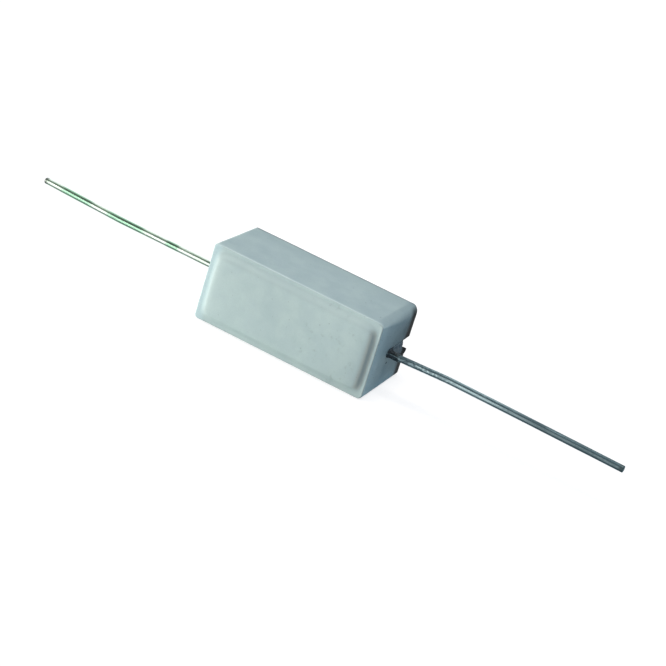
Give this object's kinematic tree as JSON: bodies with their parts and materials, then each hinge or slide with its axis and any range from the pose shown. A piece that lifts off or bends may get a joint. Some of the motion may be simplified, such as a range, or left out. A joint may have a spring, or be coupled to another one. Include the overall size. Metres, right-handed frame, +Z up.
{
  "type": "axial wirewound resistor",
  "caption": "Axial power resistor: a long pale ceramic case with a raised front panel, filled with cement at the back, and a stiff tinned wire lead out of each end.",
  "frame": {"origin": "middle of the lower long side wall of the case, on the surface that it rests on", "axes": "+X along the leads towards the longer, right lead; -Y out of the front panel; +Z up from the wall that the case rests on"},
  "size_m": [0.0758, 0.0102, 0.0094],
  "materials": {
    "ceramic": "unglazed, fine and slightly satin",
    "cement": "rough, sandy",
    "core": "matte",
    "resistance_alloy": "drawn wire",
    "cap_steel": "pressed and tinned",
    "tinned_wire": "tinned, drawn along its length"
  },
  "bodies": {
    "root": {"ceramic_case": "ceramic", "cement_fill": "cement", "core_rod": "core", "resistance_wire": "resistance_alloy", "end_cap_left": "cap_steel", "end_cap_right": "cap_steel", "lead_left": "tinned_wire", "lead_right": "tinned_wire"}
  },
  "joints": []
}
